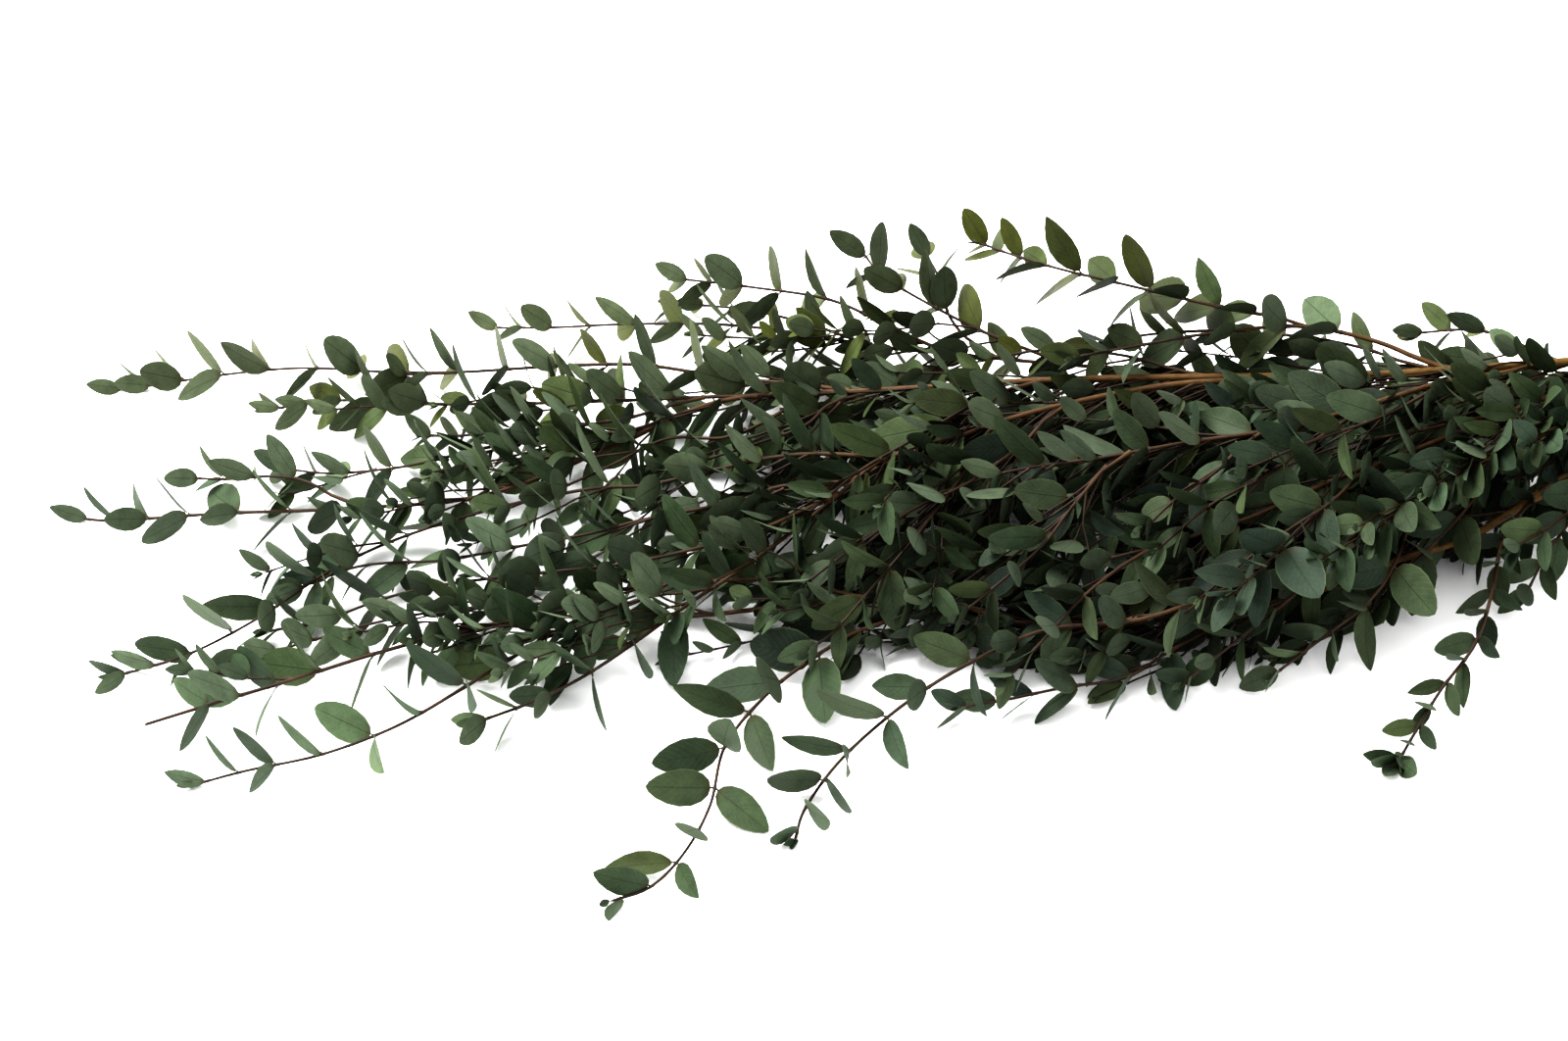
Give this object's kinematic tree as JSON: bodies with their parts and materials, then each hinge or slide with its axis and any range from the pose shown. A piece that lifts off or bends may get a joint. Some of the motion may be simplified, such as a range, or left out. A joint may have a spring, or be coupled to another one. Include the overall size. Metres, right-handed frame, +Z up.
{
  "type": "eucalyptus branch",
  "caption": "Cut leafy eucalyptus branch lying flat: a woody butt that forks into slender limbs and side shoots with opposite oval leaves, fanned out over the table.",
  "frame": {"origin": "middle of the branch's plan, at the level of the surface that it lies on", "axes": "+X along the branch towards its cut end, -X towards the fanned leafy tips, +Z up from the surface"},
  "size_m": [0.7318, 0.3922, 0.0887],
  "materials": {
    "butt_wood": "matt bark",
    "dark_green_leaf": "satin preserved leaf",
    "mid_green_leaf": "satin preserved leaf",
    "grey_green_leaf": "satin preserved leaf"
  },
  "bodies": {
    "root": {"butt": "butt_wood", "limb_leader": "dark_green_leaf", "limb_front_inner": "mid_green_leaf", "limb_front_lower": "grey_green_leaf", "limb_near": "dark_green_leaf", "limb_back": "mid_green_leaf", "limb_arch": "grey_green_leaf", "limb_front_upper": "dark_green_leaf", "limb_middle": "mid_green_leaf", "limb_low": "grey_green_leaf", "spray_arch_tip": "dark_green_leaf", "spray_back_top": "mid_green_leaf", "spray_back_upright": "grey_green_leaf", "spray_back_left": "dark_green_leaf", "spray_back_low": "mid_green_leaf", "spray_far_tip": "grey_green_leaf", "spray_far_inner": "dark_green_leaf", "spray_tip_back": "mid_green_leaf", "spray_tip_outer": "grey_green_leaf", "spray_far_side": "dark_green_leaf", "spray_left_long": "mid_green_leaf", "spray_left_inner": "grey_green_leaf", "spray_left_mid": "dark_green_leaf", "spray_left_low": "mid_green_leaf", "spray_near_left": "grey_green_leaf", "spray_near_big": "dark_green_leaf", "spray_drop_left": "mid_green_leaf", "spray_front_low": "grey_green_leaf", "spray_top_cross": "dark_green_leaf", "spray_top_drop": "mid_green_leaf", "spray_right_drop": "grey_green_leaf", "spray_front_drop": "dark_green_leaf", "spray_inner_drop": "mid_green_leaf", "spray_middle_front": "grey_green_leaf", "spray_middle_fill": "dark_green_leaf", "spray_left_cross": "mid_green_leaf", "spray_centre_drop": "grey_green_leaf", "spray_right_top": "dark_green_leaf", "spray_low_near": "mid_green_leaf", "spray_right_back": "grey_green_leaf", "shoot_arch_low": "dark_green_leaf", "shoot_top_inner": "mid_green_leaf", "shoot_left_top": "grey_green_leaf", "shoot_right_near": "dark_green_leaf", "spray_right_under": "mid_green_leaf", "spray_right_inner": "grey_green_leaf", "spray_far_right": "dark_green_leaf", "spray_back_right": "mid_green_leaf", "spray_mid_back": "grey_green_leaf"}
  },
  "joints": []
}
